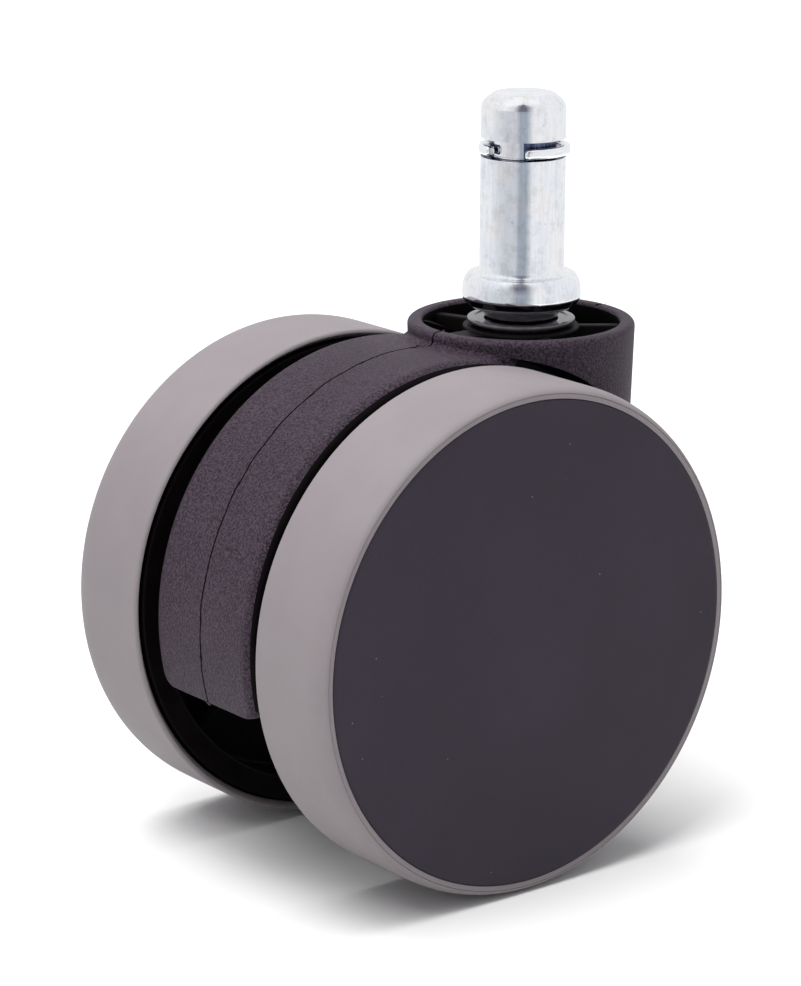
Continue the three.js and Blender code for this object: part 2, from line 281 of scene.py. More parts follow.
def even_angles(sides):
    return [360.0 * i / sides for i in range(sides)]


def supported(outline):
    """An outline with a point close to both ends of its long straights, so that these shade as straight."""
    result = []
    for start, end in zip(outline, outline[1:] + outline[:1]):
        result.append(start)
        length = math.dist(start, end)
        if length > LONG_STRAIGHT and max(start[0], end[0]) > 0:
            for share in (HOLDING / length, 1 - HOLDING / length):
                result.append(tuple(a + (b - a) * share for a, b in zip(start, end)))
    return result


def turned(name, outline, axis, angles):
    """A solid turned from an outline of (radius, height) points, about the swivel axis Z or the axle Y."""

    def place(radius, height, angle):
        across = radius * math.cos(math.radians(angle))
        along = radius * math.sin(math.radians(angle))
        if axis == "Z":
            return (across, along, height)
        return (AXLE_X + across, height, AXLE_Z + along)

    vertices = []
    rings = []
    for radius, height in supported(outline):
        used = [0.0] if radius < 1e-6 else angles
        rings.append([len(vertices) + i for i in range(len(used))])
        vertices += [place(radius, height, angle) for angle in used]
    faces = []
    for a, b in zip(rings, rings[1:] + rings[:1]):
        if len(a) == 1 and len(b) == 1:
            continue
        for i in range(len(angles)):
            j = (i + 1) % len(angles)
            corners = [a[i % len(a)], a[j % len(a)], b[j % len(b)], b[i % len(b)]]
            faces.append(list(dict.fromkeys(corners)))
    return solid(name, vertices, faces)


def swept(name, sections):
    """A solid through sections that all have the same number of points, closed by a face at each end."""
    count = len(sections[0])
    vertices = [point for section in sections for point in section]
    faces = [list(range(count)), list(range(len(vertices) - count, len(vertices)))]
    for s in range(len(sections) - 1):
        for i in range(count):
            j = (i + 1) % count
            a = s * count
            b = a + count
            faces.append([a + i, a + j, b + j, b + i])
    return solid(name, vertices, faces)


def plate(name, outline, half_thickness, edge=0.3):
    """A plate of an (x, z) outline that stands on the middle plane, with bevelled edges."""
    sections = [[(x, y, z) for x, z in outline] for y in (-half_thickness, half_thickness)]
    obj = swept(name, sections)
    bevel(obj, edge)
    return obj


def block(name, low, high, edge=0.3):
    """A box between two corners, with bevelled edges."""
    (x0, y0, z0), (x1, y1, z1) = low, high
    outline = [(x0, z0), (x1, z0), (x1, z1), (x0, z1)]
    obj = swept(name, [[(x, y, z) for x, z in outline] for y in (y0, y1)])
    if edge:
        bevel(obj, edge)
    return obj


def turn(obj, degrees, axis, centre=(0, 0, 0)):
    """Turns an object's mesh about an axis through a point."""
    place = Vector(centre) * MM
    turning = Matrix.Rotation(math.radians(degrees), 4, axis)
    obj.data.transform(Matrix.Translation(place) @ turning @ Matrix.Translation(-place))
    return obj


def mirrored(obj):
    """Mirrors an object's mesh to the other side of the middle plane."""
    obj.data.transform(Matrix.Scale(-1, 4, (0, 1, 0)))
    obj.data.flip_normals()
    return obj


def settle(obj):
    """Gives an object the mesh that its modifiers make."""
    evaluated = obj.evaluated_get(bpy.context.evaluated_depsgraph_get())
    mesh = bpy.data.meshes.new_from_object(evaluated)
    obj.modifiers.clear()
    obj.data = mesh
    return obj


def bevel(obj, width, segments=2):
    modifier = obj.modifiers.new("bevel", "BEVEL")
    modifier.width = width * MM
    modifier.segments = segments
    modifier.limit_method = "ANGLE"
    modifier.angle_limit = math.radians(35)
    return settle(obj)


def combine(base, tool, operation):
    """Joins a tool to a base, or cuts it out of it. The tool is used up."""
    modifier = base.modifiers.new("boolean", "BOOLEAN")
    modifier.object = tool
    modifier.operation = operation
    modifier.solver = "MANIFOLD"
    settle(base)
    bpy.data.objects.remove(tool)
    return base


def join(base, *tools):
    for tool in tools:
        combine(base, tool, "UNION")
    return base


def cut(base, *tools):
    for tool in tools:
        combine(base, tool, "DIFFERENCE")
    return base


FINE = even_angles(256)
MEDIUM = even_angles(128)
SMALL = even_angles(72)

# ----------------------------------------------------------------------------------------------------------
# Stem
# ----------------------------------------------------------------------------------------------------------


def make_stem():
    """The plated stem: rounded tip, ring groove, bulging collar, and the pin that turns in the housing."""
    s = stem
    tip = rounded([
        (0.0, s.top, 0.0),
        (s.tip_flat, s.top, 0.35),
        (s.radius - 0.35, s.top - 1.0, 1.0),
        (s.radius - 0.06, s.top - s.tip_edge, 0.1),
        (s.radius, s.top - s.tip_height, 0.0),
    ], 5)
    fillet = s.radius + s.collar_fillet
    collar_fillet = arc(fillet, s.collar_fillet, s.collar_fillet, s.collar_fillet, 180, 270, 6)
    collar_top = arc(s.shoulder, s.collar_widest, s.collar_radius - s.shoulder, -s.collar_widest, 90, 0, 9)
    collar_foot = arc(s.collar_foot, s.collar_widest, s.collar_radius - s.collar_foot,
                      s.collar_widest - s.collar_bottom, 0, -90, 9)[1:]
    body = rounded([
        (s.radius, s.groove_top, 0.12),
        (s.groove_floor, s.groove_top, 0.15),
        (s.groove_floor, s.groove_bottom, 0.15),
        (s.radius, s.groove_bottom, 0.12),
        (s.radius, s.collar_fillet, 0.0),
    ], 4)
    pin = rounded([
        (s.neck, s.collar_bottom, 0.25),
        (s.neck, s.retainer_top, 0.1),
        (s.retainer_floor, s.retainer_top, 0.1),
        (s.retainer_floor, s.retainer_bottom, 0.1),
        (s.neck, s.retainer_bottom, 0.1),
        (s.neck, s.bottom, 0.8),
        (0.0, s.bottom, 0.0),
    ], 4)
    outline = tip + body[:-1] + collar_fillet + collar_top + collar_foot + pin
    return turned("stem_detailed", outline, "Z", MEDIUM)


def ring_section(inner, outer, bottom, top, angle, radius):
    """The rounded section of a spring ring at an angle about the swivel axis."""
    corners = [(inner, bottom, radius), (outer, bottom, radius), (outer, top, radius), (inner, top, radius)]
    c, s = math.cos(math.radians(angle)), math.sin(math.radians(angle))
    return [(r * c, r * s, z) for r, z in rounded(corners, 5)]


def make_grip_ring():
    """The open ring in the groove. One end is curled outwards a little."""
    sections = []
    steps = 150
    curl = 14.0  # degrees over which the curled end lifts out of the groove
    taper = 4.0  # degrees over which each end rounds off
    corner = 0.42
    for i in range(steps + 1):
        turned_by = (grip.end - grip.start) * i / steps
        angle = grip.start + turned_by
        lift = max(0.0, 1 - turned_by / curl) ** 2
        out, down = 0.10 * lift, 0.15 * lift
        curled_end = max(0.0, 1 - turned_by / taper)
        plain_end = max(0.0, 1 - (grip.end - angle) / taper)
        pinch = 0.22 * curled_end**2 + 0.2 * plain_end**2
        sections.append(ring_section(
            grip.inner + out + pinch,
            grip.outer + out - pinch,
            grip.bottom - down + pinch,
            grip.top - down - pinch,
            angle,
            corner,
        ))
    ring = swept("grip_ring_detailed", sections)
    ring.data.transform(Matrix.Translation(Vector(grip.shift) * MM))
    return ring


def make_snap_ring():
    sections = []
    for i in range(81):
        angle = snap.gap + (360 - 2 * snap.gap) * i / 80
        sections.append(ring_section(snap.inner, snap.outer, snap.bottom, snap.top, angle, 0.15))
    return swept("stem_snap_ring_detailed", sections)


def make_stem_bush():
    """The flanged bush that the pin turns in. Its flange shows under the collar."""
    f = flange
    under = f.top - f.thickness
    outline = rounded([
        (f.bore, f.bottom, 0.15),
        (f.sleeve, f.bottom, 0.2),
        (f.sleeve, under, 0.1),
        (f.radius - 0.35, under, 0.1),
        (f.radius - 0.35, under + 0.2, 0.05),
        (f.radius, under + 0.2, 0.1),
        (f.radius, f.top, 0.18),
        (f.radius - 0.9, f.top, 0.1),
        (f.radius - 1.05, f.top - 0.14, 0.05),
        (f.bore, f.top - 0.14, 0.12),
    ], 3)
    return turned("stem_bush_detailed", outline, "Z", MEDIUM)


def make_thrust_ball():
    low, high = span("thrust_ball", "Z")
    radius = (high - low) / 2
    outline = arc(0, (low + high) / 2, radius, radius, -90, 90, 32)
    outline[0] = (0.0, low)
    outline[-1] = (0.0, high)
    return turned("thrust_ball_detailed", outline, "Z", SMALL)


# ----------------------------------------------------------------------------------------------------------
# Housing
# ----------------------------------------------------------------------------------------------------------

LINE_HALF = 0.13  # half the width of the moulded parting line
LINE_FLOOR = 0.07  # half the width of its floor
LINE_DEPTH = 0.42
LINE_REACH = 0.45  # how far either side of the middle plane the line shifts the skin
LINE_COLUMNS = (-0.32, -LINE_HALF, -LINE_FLOOR, LINE_FLOOR, LINE_HALF, 0.32)


def rounding(distance, radius):
    """How far a rounded edge has fallen back at a distance from its end."""
    if distance >= radius:
        return 0.0
    return radius - math.sqrt(radius**2 - (radius - max(distance, 0.0)) ** 2)


HOOD_CORNER_STEPS = 8
SKIN_COLUMNS = 30  # points across the skin, on each side of the parting line
THINNEST_EDGE = 0.05
COARSE_STEP = 0.6  # between the hood's sections, along its skin
CLOSE_STEP = 0.1
END_MARGIN = 0.7  # the even sections stop this far short of the rear end's rounded corner


def hood_section(from_end):
    """The hood's section at a distance from its rear end, where its edges and corners are rounded."""
    h = hood
    angle = h.rear - math.degrees(from_end / h.radius)
    inset = rounding(from_end, h.end_edge)
    inner = h.radius - h.wall + inset
    outer = h.radius - inset
    half = h.half_width - inset - rounding(from_end, h.end_corner)
    edge = max(h.edge - inset, THINNEST_EDGE)
    corners = [
        (-half, inner, h.inner_edge),
        (half, inner, h.inner_edge),
        (half, outer, edge),
        (-half, outer, edge),
    ]
    outline = rounded(corners, HOOD_CORNER_STEPS)
    top_left = len(outline) - HOOD_CORNER_STEPS - 1
    flat = half - edge
    beside = [LINE_REACH + (flat - LINE_REACH) * i / SKIN_COLUMNS for i in range(SKIN_COLUMNS)]
    columns = beside[::-1] + list(reversed(LINE_COLUMNS)) + [-y for y in beside]
    outline[top_left:top_left] = [(y, outer) for y in columns]
    c, s = math.cos(math.radians(angle)), math.sin(math.radians(angle))
    section = []
    for y, r in outline:
        x, z = h.x + r * c, h.z + r * s
        raised = cup_fillet(x, y) if r > h.radius - 0.3 else 0.0
        section.append((x + raised * c, y, z + raised * s))
    return section


def cup_fillet(x, y):
    """How far the hood's skin rises where it runs into the cup's wall."""
    if x > 0:
        return 0.0
    return rounding(math.hypot(x, y) - cup.rim_radius + 0.05, hood.cup_fillet)


def make_hood():
    """The arc over the wheels, with rounded edges and a rounded rear end."""
    places = [math.radians(hood.rear - hood.front) * hood.radius]
    low, high = hood.beside_cup
    while places[-1] > hood.end_corner + END_MARGIN:
        angle = hood.rear - math.degrees(places[-1] / hood.radius)
        places.append(places[-1] - (CLOSE_STEP if low < angle < high else COARSE_STEP))
    for radius, steps in ((hood.end_corner, 10), (hood.end_edge, 5)):
        places += [radius * (1 - math.sin(math.radians(90 * k / steps))) for k in range(steps)]
    places = sorted(places, reverse=True) + [0.0]
    return swept("housing_detailed", [hood_section(place) for place in places])


def wall_radius(z):
    slope = (cup.rim_radius - cup.foot_radius) / (cup.rim_z - cup.foot_z)
    return cup.foot_radius + slope * (z - cup.foot_z)


def line_angles(sides, radius):
    """Angles round the cup, with extra columns for the parting line in front and behind."""
    line = [math.degrees(y / radius) for y in LINE_COLUMNS]
    plain = [a for a in even_angles(sides) if 2.0 < a % 180 < 178.0]
    return sorted([a % 360 for a in line] + plain + [180 + a for a in line])


def make_cup():
    """The cup round the stem, with a rounded rim."""
    outline = rounded([
        (wall_radius(cup.floor_bottom), cup.floor_bottom, 0.3),
        (cup.rim_radius, cup.rim_z, 0.75),
        (cup.rim_radius - cup.wall, cup.rim_z, 0.55),
        (cup.rim_radius - cup.wall, cup.floor_top, 0.8),
        (0.0, cup.floor_top, 0.0),
        (0.0, cup.floor_bottom, 0.0),
    ], 6)
    return turned("cup", outline, "Z", line_angles(180, cup.rim_radius))


def make_apron():
    """The front wall that runs on down from the cup."""
    top = cup.floor_bottom + 0.5
    inner = cup.foot_radius - apron.wall
    outline = rounded([
        (inner, apron.bottom, 0.4),
        (wall_radius(apron.bottom), apron.bottom, 0.6),
        (wall_radius(top), top, 0.0),
        (inner, top, 0.0),
    ], 5)
    wall = turned("apron", outline, "Z", line_angles(180, cup.rim_radius))
    return cut(wall, block("behind", (-20, -20, apron.bottom - 1), (apron.rear_x, 20, -10), 0))


def cup_ribs():
    """Ribs from the socket to the cup's wall, one of them the broad spine towards the wheels."""
    ribs = []
    for i in range(cup.rib_count):
        half = (cup.spine_thickness if i == 0 else cup.rib_thickness) / 2
        low = (socket.radius - 0.6, -half, cup.floor_top - 0.5)
        high = (cup.rim_radius - cup.wall + 0.6, half, cup.rib_top)
        ribs.append(turn(block("rib", low, high, 0.25), 180 + i * 360 / cup.rib_count, "Z"))
    return ribs


def wheel_spaces(wall=0.0):
    """The two flared spaces that the wheels turn in, beside the hood, made larger by a wall's thickness."""
    radius = wheel_space.radius + wall
    flared = radius + cup.arch_flare
    near, far = wheel_space.inner - wall, 2 * cover.outer
    outline = [(0, near), (radius, near), (flared, cup.arch_outer), (flared, far), (0, far)]
    return [turned("space", [(r, side * y) for r, y in outline], "Y", FINE) for side in (1, -1)]


def cup_arches():
    """The walls inside the cup that close it off from the wheels below."""
    radius = cup.rim_radius - cup.wall + 0.3
    low, high = cup.floor_top - 0.5, cup.rim_z - 0.3
    arches = []
    for space in wheel_spaces(cup.arch_wall):
        inside = turned("inside", [(0, low), (radius, low), (radius, high), (0, high)], "Z", even_angles(180))
        arches.append(combine(inside, space, "INTERSECT"))
    return arches


def make_keel():
    """The thin wall on the middle plane that ties the hood, the socket and the axle boss together."""
    middle = hood.radius - hood.wall / 2
    front = cup.foot_radius - apron.wall / 2
    outline = arc(hood.x, hood.z, middle, middle, 84, hood.rear - 0.7, 48)
    outline += arc(AXLE_X, AXLE_Z, keel.boss_radius - 0.2, keel.boss_radius - 0.2, 262, 290, 6)
    outline += [
        (front - 6, apron.bottom + 4),
        (front, apron.bottom + 3),
        (front, cup.floor_top - 1),
        (-12, cup.floor_top - 1),
    ]
    return plate("keel", outline, keel.half_thickness, 0.25)


def hood_stiffeners():
    """Ribs that run out from the axle boss to the hood."""
    half = keel.stiffener_thickness / 2
    far = hood.radius - hood.wall / 2
    wide = keel.stiffener_half_width
    stiffeners = []
    for angle in keel.stiffener_angles:
        bar = block("stiffener", (keel.boss_radius - 1, -wide, -half), (far, wide, half))
        turn(bar, -angle, "Y")
        bar.data.transform(Matrix.Translation(Vector((AXLE_X, 0, AXLE_Z)) * MM))
        stiffeners.append(bar)
    return stiffeners


def make_socket():
    outline = rounded([
        (0.0, socket.bottom, 0.0),
        (socket.radius, socket.bottom, 1.5),
        (socket.radius, socket.top, 0.4),
        (0.0, socket.top, 0.0),
    ], 6)
    return turned("socket", outline, "Z", MEDIUM)


def make_axle_boss():
    half = keel.boss_half_width
    outline = rounded([
        (0.0, -half, 0.0),
        (keel.boss_radius, -half, 0.4),
        (keel.boss_radius, half, 0.4),
        (0.0, half, 0.0),
    ])
    return turned("boss", outline, "Y", MEDIUM)


def housing_bores():
    """The holes for the stem's bush, the ball under it, and the axle."""
    ball_low = span("thrust_ball", "Z")[0] - 0.3
    ball_radius = span("thrust_ball", "X")[1] + 0.3
    half = keel.boss_half_width + 1
    stem_bore = [(0, socket.bore_bottom), (socket.bore, socket.bore_bottom), (socket.bore, 0), (0, 0)]
    ball_bore = [(0, ball_low), (ball_radius, ball_low), (ball_radius, -20), (0, -20)]
    axle_bore = [(0, -half), (bush_bore, -half), (bush_bore, half), (0, half)]
    return [
        turned("stem_bore", stem_bore, "Z", MEDIUM),
        turned("ball_bore", ball_bore, "Z", SMALL),
        turned("axle_bore", axle_bore, "Y", SMALL),
    ]


def cut_parting_line(obj):
    """Sinks the moulded line into the skin on the middle plane, a little crooked and nicked."""
    for vertex in obj.data.vertices:
        x, y, z = vertex.co / MM
        near = abs(y) < LINE_REACH
        outside = math.hypot(x - hood.x, z - hood.z) > hood.radius - 0.5 and x < -12
        outside = outside or math.hypot(x, y) > cup.rim_radius - 0.95
        outside = outside or (z > cup.rim_z - 0.3 and math.hypot(x, y) > cup.rim_radius - cup.wall + 0.2)
        if not (near and outside):
            continue
        along = Vector((x, 0, z)) * 0.3
        wander = 0.26 * noise.noise(along) + 0.12 * noise.noise(along * 4)
        sunk = min(max((LINE_HALF - abs(y)) / (LINE_HALF - LINE_FLOOR), 0.0), 1.0)
        nick = max(0.0, noise.noise(along * 9 + Vector((7, 0, 0))) - 0.35) * 0.4
        vertex.co -= vertex.normal * (LINE_DEPTH * sunk + nick * (abs(y) < 0.2)) * MM
        vertex.co.y += wander * (1 - abs(y) / LINE_REACH) * MM


def make_housing():
    """The moulded housing in one piece."""
    hollow_outline = [
        (0.0, cup.floor_top + 0.05),
        (cup.rim_radius - cup.wall - 0.02, cup.floor_top + 0.05),
        (cup.rim_radius - cup.wall - 0.02, cup.rim_z - 1.0),
        (0.0, cup.rim_z - 1.0),
    ]
    hollow = turned("hollow", hollow_outline, "Z", even_angles(180))
    arc_over_wheels = cut(make_hood(), hollow)
    shell = join(arc_over_wheels, make_cup(), make_apron(), *cup_ribs(), *cup_arches())
    cut(shell, *wheel_spaces())
    join(shell, make_keel(), *hood_stiffeners(), make_socket(), make_axle_boss())
    cut(shell, *housing_bores())
    cut_parting_line(shell)
    return shell


# ----------------------------------------------------------------------------------------------------------
# Wheels and axle, each made on the left side and mirrored for the right
# ----------------------------------------------------------------------------------------------------------


def make_tyre():
    """The soft tread: a broad rounded shoulder outside, a smaller one inside, and a lip round the cover."""
    t = tyre
    seat = t.outer - t.lip_depth
    key = (t.inner + core.rim_outer) / 2
    inner_side = [(t.bore, t.inner + t.inner_slope)]
    inner_side += arc(t.radius - t.inner_edge, t.inner + t.inner_edge, t.inner_edge, t.inner_edge, -90, 0, 8)
    tread = [(t.radius, t.inner + (t.outer - t.inner) * k / 8) for k in range(1, 7)]
    shoulder = arc(t.radius - t.shoulder_drop, t.outer - t.shoulder_width, t.shoulder_drop, t.shoulder_width,
                   0, 84, 12)
    lip_radius = cover.radius + 0.03
    bead_foot = shoulder[-1][0] - t.bead
    bore = rounded([
        (shoulder[-1][0] - t.bead / 2, t.outer, 0.04),
        (bead_foot, t.outer - t.lip_sunk, 0.04),
        (lip_radius, t.outer - t.lip_sunk, 0.06),
        (lip_radius, seat, 0.1),
        (t.bore, seat, 0.1),
        (t.bore, key + t.key_width / 2, 0.15),
        (t.bore - t.key_depth, key + t.key_width / 2, 0.15),
        (t.bore - t.key_depth, key - t.key_width / 2, 0.15),
        (t.bore, key - t.key_width / 2, 0.15),
        (t.bore, t.inner + t.inner_slope, 0.0),
    ], 3)[:-1]
    return turned("tyre", inner_side + tread + shoulder + bore, "Y", FINE)


def make_core():
    """The wheel's body: rim, web with ribs on its inner side, and hub."""
    c = core
    key = (tyre.inner + c.rim_outer) / 2
    key_half = tyre.key_width / 2 + 0.3
    key_floor = c.rim_radius - tyre.key_depth
    outline = rounded([
        (c.bore, c.hub_inner, 0.2),
        (c.hub_radius, c.hub_inner, 0.3),
        (c.hub_radius - 0.1, c.web_inner, 0.5),
        (c.rim_bore + 0.1, c.web_inner, 0.5),
        (c.rim_bore, c.rim_inner, 0.35),
        (c.rim_radius, c.rim_inner, 0.35),
        (c.rim_radius, key - key_half, 0.1),
        (key_floor, key - key_half, 0.1),
        (key_floor, key + key_half, 0.1),
        (c.rim_radius, key + key_half, 0.1),
        (c.rim_radius, c.rim_outer, 0.25),
        (c.rim_bore, c.rim_outer, 0.2),
        (c.rim_bore, c.web_outer, 0.4),
        (c.bore, c.web_outer, 0.2),
    ], 4)
    body = turned("core", outline, "Y", FINE)
    half = c.rib_thickness / 2
    for i in range(c.rib_count):
        low = (AXLE_X + c.hub_radius - 0.5, c.web_inner - c.rib_height, AXLE_Z - half)
        high = (AXLE_X + c.rim_bore + 0.5, c.web_inner + 0.5, AXLE_Z + half)
        rib = turn(block("rib", low, high, 0.25), i * 360 / c.rib_count, "Y", (AXLE_X, 0, AXLE_Z))
        join(body, rib)
    return body


def make_cover():
    """The flat disc that closes the wheel's outer side."""
    inside = cover.outer - cover.thickness
    inner_skirt = cover.skirt_radius - cover.skirt_thickness
    outline = rounded([
        (0.0, inside, 0.0),
        (inner_skirt, inside, 0.3),
        (inner_skirt, cover.inner, 0.15),
        (cover.skirt_radius, cover.inner, 0.15),
        (cover.skirt_radius, inside, 0.15),
        (cover.radius, inside, 0.1),
        (cover.radius, cover.outer, cover.bevel),
        (0.0, cover.outer, 0.0),
    ], 6)
    rings = [(cover.radius * k / 12, cover.outer) for k in range(11, 0, -1)]
    return turned("cover", outline[:-1] + rings + outline[-1:], "Y", FINE)


def make_hub_bush():
    low, high = span("hub_bush_left", "Y")
    outer = reach("hub_bush_left")
    corners = [(bush_bore, low, 0.1), (outer, low, 0.2), (outer, high, 0.2), (bush_bore, high, 0.1)]
    return turned("bush", rounded(corners, 3), "Y", SMALL)


def make_washer(node):
    low, high = span(node, "Y")
    outer = reach(node)
    corners = [(bush_bore, low, 0.08), (outer, low, 0.15), (outer, high, 0.15), (bush_bore, high, 0.08)]
    return turned("washer", rounded(corners, 3), "Y", SMALL)


def make_push_nut():
    """The slotted spring washer that is pushed on to the axle's end."""
    nut = make_washer("push_nut_left")
    low, high = span("push_nut_left", "Y")
    for i in range(6):
        start = (AXLE_X + axle.radius, low - 1, AXLE_Z - 0.5)
        end = (AXLE_X + bush_bore + 1.6, high + 1, AXLE_Z + 0.5)
        cut(nut, turn(block("slot", start, end, 0), i * 60, "Y", (AXLE_X, 0, AXLE_Z)))
    return nut


def make_axle():
    half = axle.half_length
    corners = [
        (0.0, -half, 0.0),
        (axle.radius, -half, axle.chamfer),
        (axle.radius, half, axle.chamfer),
        (0.0, half, 0.0),
    ]
    return turned("axle_detailed", rounded(corners), "Y", SMALL)


# ----------------------------------------------------------------------------------------------------------
# Materials
# ----------------------------------------------------------------------------------------------------------


MIX_FACTOR, MIX_A, MIX_B, MIX_RESULT = 0, 6, 7, 2  # a Mix node's sockets when it mixes colours


def colour_ramp(tree, value, stops):
    """A value turned into colours, from rising (position, colour) stops. A plain number is a grey."""
    node = tree.nodes.new("ShaderNodeValToRGB")
    elements = node.color_ramp.elements
    elements[0].position = stops[0][0]
    elements[-1].position = stops[-1][0]
    for position, _ in stops[1:-1]:
        elements.new(position)
    for element, (_, colour) in zip(elements, stops):
        element.color = (*colour, 1) if isinstance(colour, tuple) else (colour, colour, colour, 1)
    tree.links.new(value, node.inputs["Fac"])
    return node.outputs["Color"]


class Surface:
    """A Principled material with procedural nodes, all driven by the piece's own coordinates in metres."""

    def __init__(self, name, metallic=0.0, specular=0.5, roughness=0.5):
        self.material = bpy.data.materials.new(name)
        self.material.use_nodes = True
        self.tree = self.material.node_tree
        self.shader = self.tree.nodes["Principled BSDF"]
        self.shader.inputs["Metallic"].default_value = metallic
        self.shader.inputs["Specular IOR Level"].default_value = specular
        self.shader.inputs["Roughness"].default_value = roughness
        self.place = self.tree.nodes.new("ShaderNodeTexCoord").outputs["Object"]

    def link(self, start, end):
        self.tree.links.new(start, end)

    def stretched(self, x, y, z):
        """The piece's coordinates, scaled along each axis."""
        mapping = self.tree.nodes.new("ShaderNodeMapping")
        mapping.inputs["Scale"].default_value = (x, y, z)
        self.link(self.place, mapping.inputs["Vector"])
        return mapping.outputs["Vector"]

    def noise(self, size_mm, detail=3.0, roughness=0.55, place=None):
        """Cloudy noise with features of a size in millimetres."""
        node = self.tree.nodes.new("ShaderNodeTexNoise")
        node.inputs["Scale"].default_value = 1 / (size_mm * MM)
        node.inputs["Detail"].default_value = detail
        node.inputs["Roughness"].default_value = roughness
        self.link(place or self.place, node.inputs["Vector"])
        return node.outputs["Fac"]

    def cells(self, size_mm, place=None):
        """Distance from scattered points with a spacing in millimetres."""
        node = self.tree.nodes.new("ShaderNodeTexVoronoi")
        node.inputs["Scale"].default_value = 1 / (size_mm * MM)
        self.link(place or self.place, node.inputs["Vector"])
        return node.outputs["Distance"]

    def ramp(self, value, *stops):
        return colour_ramp(self.tree, value, stops)

    def mix(self, kind, factor, a, b):
        """Two colours mixed. The factor is a number or the output of another node."""
        node = self.tree.nodes.new("ShaderNodeMix")
        node.data_type = "RGBA"
        node.blend_type = kind
        if isinstance(factor, (int, float)):
            node.inputs[MIX_FACTOR].default_value = factor
        else:
            self.link(factor, node.inputs[MIX_FACTOR])
        self.link(a, node.inputs[MIX_A])
        self.link(b, node.inputs[MIX_B])
        return node.outputs[MIX_RESULT]

    def colour(self, value):
        self.link(value, self.shader.inputs["Base Color"])

    def rough(self, value, low, high):
        """Roughness that follows a value between two limits."""
        node = self.tree.nodes.new("ShaderNodeMapRange")
        node.inputs["From Min"].default_value = 0.3
        node.inputs["From Max"].default_value = 0.7
        node.inputs["To Min"].default_value = low
        node.inputs["To Max"].default_value = high
        self.link(value, node.inputs["Value"])
        self.link(node.outputs["Result"], self.shader.inputs["Roughness"])

    def bumps(self, *layers):
        """Fine relief from (value, height in millimetres) layers."""
        before = None
        for value, height_mm in layers:
            node = self.tree.nodes.new("ShaderNodeBump")
            node.inputs["Strength"].default_value = 1.0
            node.inputs["Distance"].default_value = height_mm * MM
            self.link(value, node.inputs["Height"])
            if before:
                self.link(before, node.inputs["Normal"])
            before = node.outputs["Normal"]
        self.link(before, self.shader.inputs["Normal"])


def housing_nylon():
    """Black nylon with a spark-eroded grain."""
    s = Surface("housing_nylon", specular=0.2)
    grain = s.noise(0.30, 4.0, 0.62)
    fine = s.noise(0.12, 2.0)
    broad = s.noise(14.0, 2.0)
    mottled = s.ramp(grain, (0.38, (0.005, 0.0026, 0.0052)), (0.64, (0.070, 0.0440, 0.0700)))
    cloud = s.ramp(broad, (0.3, 0.84), (0.7, 1.0))
    s.colour(s.mix("MULTIPLY", 1.0, mottled, cloud))
    s.rough(grain, 0.46, 0.62)
    s.bumps((grain, 0.30), (fine, 0.07))
    return s.material


def shade_darkened_nylon(name):
    """Smooth black nylon, darkened far below the housing skin's tone as painted shade for faces that no light
    reaches from outside, with faint flow marks.
    """
    s = Surface(name, specular=0.05)
    cloud = s.noise(6.0, 3.0)
    # The near-black tones are painted shade, far darker than the skin's own black.
    s.colour(s.ramp(cloud, (0.3, (0.0022, 0.0014, 0.0018)), (0.7, (0.0040, 0.0027, 0.0034))))
    s.rough(cloud, 0.42, 0.56)
    s.bumps((s.noise(0.6), 0.012))
    return s.material


def core_nylon():
    # The wheel core's own black nylon, darkened further as painted shade.
    return shade_darkened_nylon("core_nylon")


def housing_inside():
    """The housing's faces off the grained skin: its inner faces, the hood's sides and the walls of the wheel
    spaces, in nylon darkened as painted shade. They have no grain.
    """
    return shade_darkened_nylon("housing_inside")


def dull_zinc():
    """Plating darkened to a dark blue as painted shade and painted reflection, on the recesses under the
    collar and round the grip ring.
    """
    s = Surface("dull_zinc", metallic=1.0)
    streaks = s.noise(0.5, 3.0, 0.6, s.stretched(1.0, 1.0, 0.15))
    # Dark blue tones: painted shade and painted reflection of the dark recesses.
    s.colour(s.ramp(streaks, (0.35, (0.030, 0.036, 0.075)), (0.65, (0.16, 0.20, 0.32))))
    s.rough(streaks, 0.22, 0.36)
    s.bumps((streaks, 0.006))
    return s.material


def cover_plastic():
    """Fine matte black plastic with a few pale specks of dust."""
    s = Surface("cover_plastic", specular=0.15)
    matte = s.noise(0.16, 3.0, 0.6)
    broad = s.noise(22.0, 2.0)
    base = s.ramp(broad, (0.3, (0.0272, 0.0205, 0.0318)), (0.7, (0.0324, 0.0246, 0.0375)))
    texture = s.ramp(matte, (0.35, 0.82), (0.65, 1.0))
    toned = s.mix("MULTIPLY", 1.0, base, texture)
    specks = s.ramp(s.cells(3.4), (0.018, 0.35), (0.034, 0.0))
    s.colour(s.mix("SCREEN", 0.35, toned, specks))
    s.rough(matte, 0.5, 0.64)
    s.bumps((matte, 0.018))
    return s.material


def tread():
    """Soft grey polyurethane, slightly cloudy."""
    s = Surface("tread", specular=0.35)
    broad = s.noise(9.0, 3.0)
    fine = s.noise(0.35, 3.0, 0.6)
    base = s.ramp(broad, (0.3, (0.193, 0.170, 0.180)), (0.7, (0.208, 0.184, 0.193)))
    skin = s.ramp(fine, (0.3, 0.95), (0.7, 1.0))
    s.colour(s.mix("MULTIPLY", 1.0, base, skin))
    s.rough(fine, 0.52, 0.66)
    s.bumps((broad, 0.05), (fine, 0.012))
    return s.material


